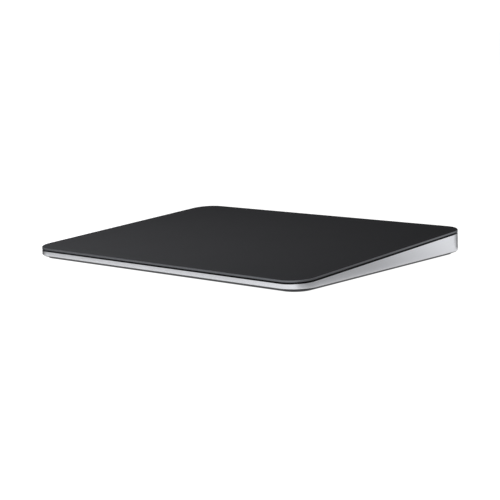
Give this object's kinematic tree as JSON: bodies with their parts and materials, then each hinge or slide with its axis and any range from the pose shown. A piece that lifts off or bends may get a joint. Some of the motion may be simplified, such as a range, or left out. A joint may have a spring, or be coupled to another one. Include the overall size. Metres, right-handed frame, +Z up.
{
  "type": "trackpad",
  "caption": "Wireless desk trackpad: a thin wedge with a black glass touch surface on force-sensing springs over a silver aluminium case with a rear charging port and switch.",
  "frame": {"origin": "on the desk plane under the feet, below the middle of the outline", "axes": "+X to the user's right along the long side, +Y away from the user to the thick rear edge, +Z up"},
  "size_m": [0.16, 0.115, 0.0109],
  "materials": {
    "anodised_case": "fine bead-blasted, clear anodised",
    "touch_surface": "matte etched, black printed on the back",
    "rim_gasket": "matte black foam",
    "clear_adhesive": "pressure-sensitive film",
    "circuit_board": "solder mask",
    "stamped_steel": "stamped sheet",
    "spring_steel": "hardened strip",
    "chip_package": "moulded epoxy",
    "connector_plastic": "moulded",
    "soft_pad": "silicone",
    "cable_film": "polyimide film",
    "screw_steel": "plated",
    "coil_copper": "enamelled copper",
    "mass_metal": "sintered heavy alloy",
    "magnet_nickel": "nickel plated",
    "cell_foil": "laminated pouch",
    "tab_nickel": "nickel strip",
    "port_steel": "drawn shell",
    "contact_gold": "gold plated",
    "lead_jacket": "extruded jacket",
    "knob_plastic": "moulded, silver tinted",
    "foot_rubber": "matte moulded"
  },
  "bodies": {
    "case": {"case_shell": "anodised_case", "battery_adhesive": "clear_adhesive", "logic_board": "circuit_board", "battery_guard": "circuit_board", "port_board": "circuit_board", "switch_board": "circuit_board", "radio_shield": "stamped_steel", "port_strap": "stamped_steel", "switch_retainer": "stamped_steel", "flexure_front_left": "spring_steel", "flexure_rear_left": "spring_steel", "flexure_front_right": "spring_steel", "flexure_rear_right": "spring_steel", "logic_chips": "chip_package", "board_sockets": "connector_plastic", "port_core": "connector_plastic", "switch_unit": "connector_plastic", "antenna_bar": "connector_plastic", "strain_gauges": "cable_film", "gauge_cable_left": "cable_film", "gauge_cable_right": "cable_film", "touch_cable": "cable_film", "battery_cable": "cable_film", "charge_cable": "cable_film", "switch_cable": "cable_film", "flexure_screws": "screw_steel", "logic_screws": "screw_steel", "port_screws": "screw_steel", "switch_screws": "screw_steel", "antenna_element": "coil_copper", "battery_cell_left": "cell_foil", "battery_cell_right": "cell_foil", "battery_tabs": "tab_nickel", "port_shell": "port_steel", "port_contacts": "contact_gold", "antenna_lead": "lead_jacket", "foot_front_left": "foot_rubber", "foot_front_right": "foot_rubber", "foot_rear_left": "foot_rubber", "foot_rear_right": "foot_rubber"},
    "touch_plate": {"touch_glass": "touch_surface", "rim_seal": "rim_gasket", "glass_adhesive": "clear_adhesive", "sensor_board": "circuit_board", "stiffener_plate": "stamped_steel", "touch_controllers": "chip_package", "touch_socket": "connector_plastic", "flexure_pads": "soft_pad", "haptic_frame": "stamped_steel", "haptic_coil": "coil_copper", "haptic_cover": "stamped_steel", "haptic_screws": "screw_steel", "haptic_leaf_left": "spring_steel", "haptic_leaf_right": "spring_steel"},
    "haptic_slider": {"haptic_mass": "mass_metal", "haptic_magnets": "magnet_nickel"},
    "power_switch": {"switch_knob": "knob_plastic", "switch_actuator": "knob_plastic"}
  },
  "joints": [
    {"name": "touch_press", "type": "slide", "parent": "case", "child": "touch_plate", "axis": [0, 0.0521, -0.9986], "range_m": [0, 0.0002], "stiffness_N_per_m": 20000, "deforming": ["flexure_front_left", "flexure_front_right", "flexure_rear_left", "flexure_rear_right", "touch_cable"]},
    {"name": "haptic_slide", "type": "slide", "parent": "touch_plate", "child": "haptic_slider", "axis": [1, 0, 0], "range_m": [-0.0004, 0.0004], "stiffness_N_per_m": 4400, "deforming": ["haptic_leaf_left", "haptic_leaf_right"]},
    {"name": "power_switch_slide", "type": "slide", "parent": "case", "child": "power_switch", "axis": [1, 0, 0], "range_m": [-0.0026, 0]}
  ]
}
